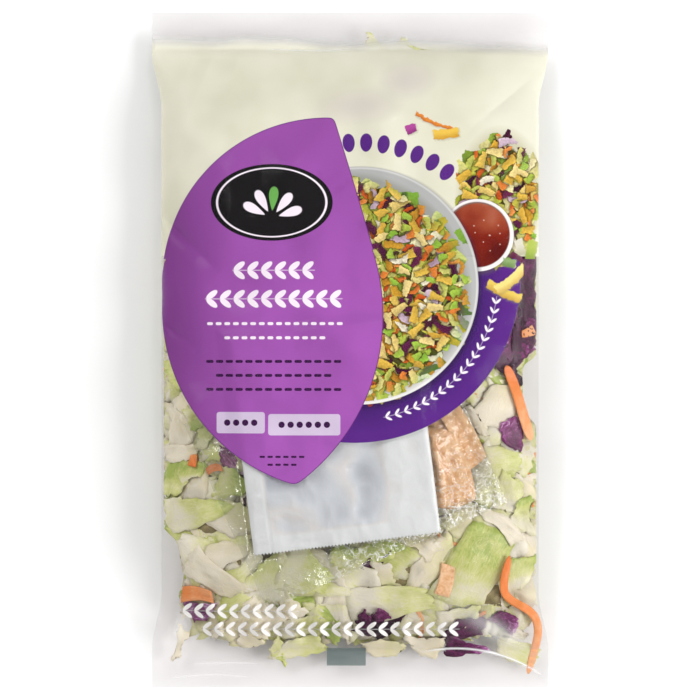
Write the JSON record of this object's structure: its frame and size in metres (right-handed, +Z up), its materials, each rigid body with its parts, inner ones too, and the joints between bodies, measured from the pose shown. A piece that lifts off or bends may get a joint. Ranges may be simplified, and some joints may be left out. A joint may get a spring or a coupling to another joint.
{
  "type": "bagged chopped salad kit",
  "caption": "Sealed pillow bag of chopped salad with flat end seals and a printed front, the dressing sachet raised under the film, lying on its back.",
  "frame": {"origin": "on the table, under the middle of the bag's box", "axes": "+Z up through the printed front film, +Y along the bag towards the top of the pack, +X to the right of the print"},
  "size_m": [0.203, 0.346, 0.0508],
  "materials": {
    "film": "clear film over salad, printed on the front",
    "lettuce": "fresh chopped iceberg lettuce and green cabbage",
    "red_cabbage": "fresh shredded red cabbage",
    "carrot": "fresh shredded carrot",
    "sachet": "satin white laminate",
    "wonton": "dry fried dough strips"
  },
  "bodies": {
    "root": {"bag": "film"}
  },
  "joints": []
}
